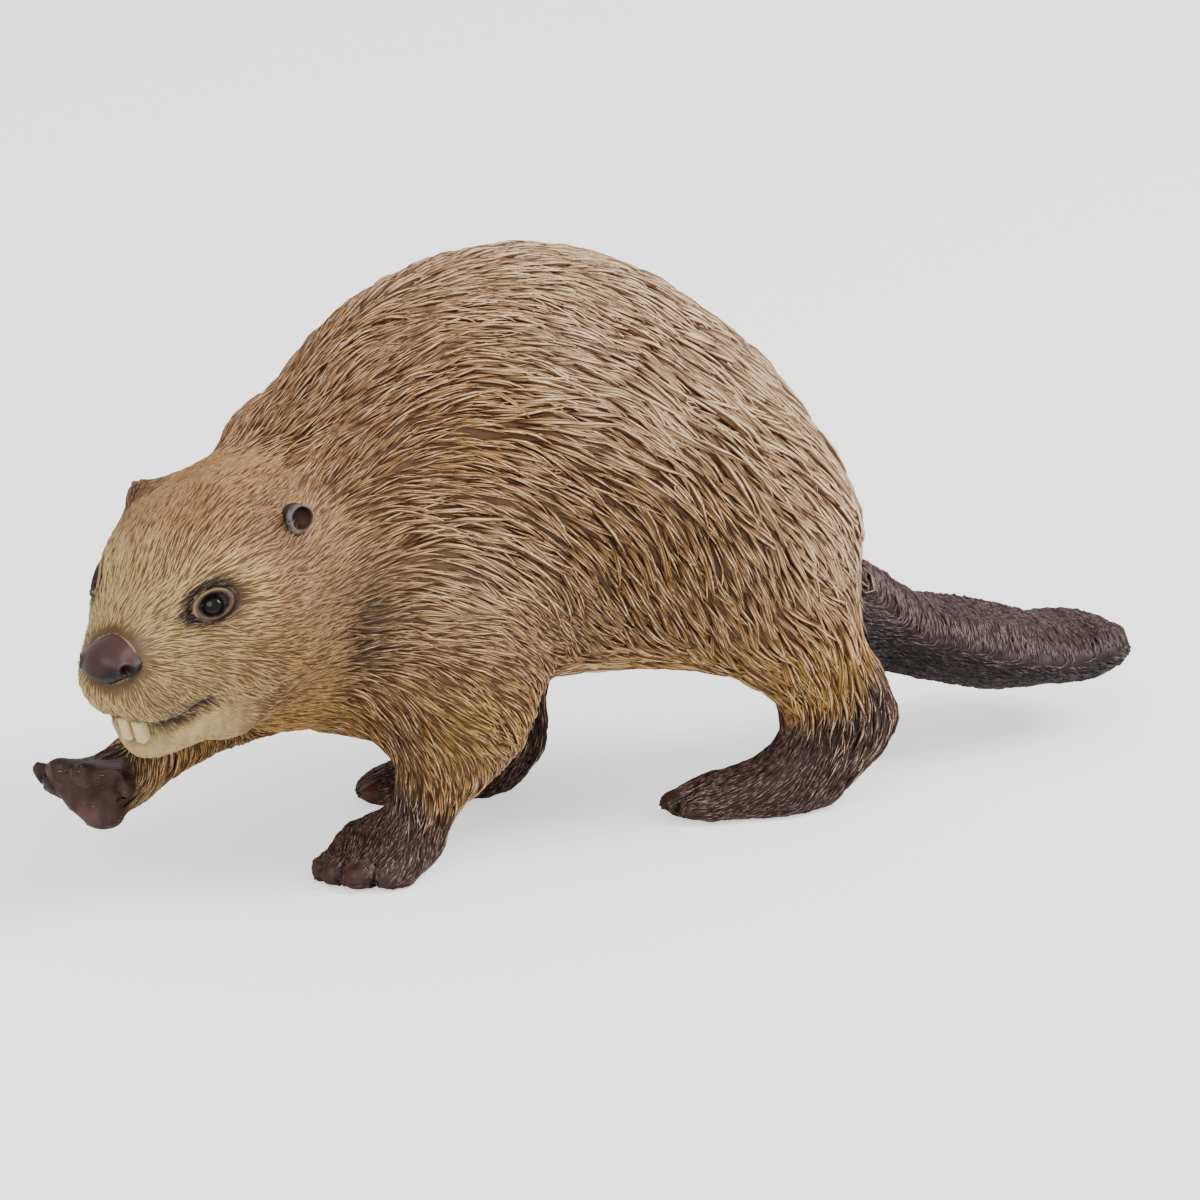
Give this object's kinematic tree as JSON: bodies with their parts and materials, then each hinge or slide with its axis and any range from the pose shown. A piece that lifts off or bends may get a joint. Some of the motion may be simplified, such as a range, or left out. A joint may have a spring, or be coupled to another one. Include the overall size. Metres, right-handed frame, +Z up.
{
  "type": "toy beaver figure",
  "caption": "Moulded toy beaver that walks with a humped back, its right forepaw lifted and its head turned left; it stands on its other feet.",
  "frame": {"origin": "middle of the whole toy's footprint, on the floor under its soles", "axes": "+Z up, the nose points along -X and the tail along +X, the toy's left side faces -Y"},
  "size_m": [0.1052, 0.0312, 0.0506],
  "materials": {
    "coat": "matt paint, tan over a dark wash in the carved fur",
    "feet": "matt dark brown paint, its ridges lightly dry-brushed",
    "tail": "matt dark brown paint, its scales lightly dry-brushed",
    "ear": "matt brown paint with a dark rim",
    "eye": "glossy black paint",
    "nose": "satin maroon paint",
    "tooth": "satin cream paint"
  },
  "bodies": {
    "root": {"trunk": "coat", "neck": "coat", "head": "coat", "lower_jaw": "coat", "foreleg_left": "coat", "foreleg_right": "coat", "hind_leg_left": "coat", "hind_leg_right": "coat", "forepaw_left": "feet", "forepaw_right": "feet", "hind_foot_left": "feet", "hind_foot_right": "feet", "tail": "tail", "ear_left": "ear", "ear_right": "ear", "eye_left": "eye", "eye_right": "eye", "incisor_left": "tooth", "incisor_right": "tooth", "nose": "nose"}
  },
  "joints": []
}
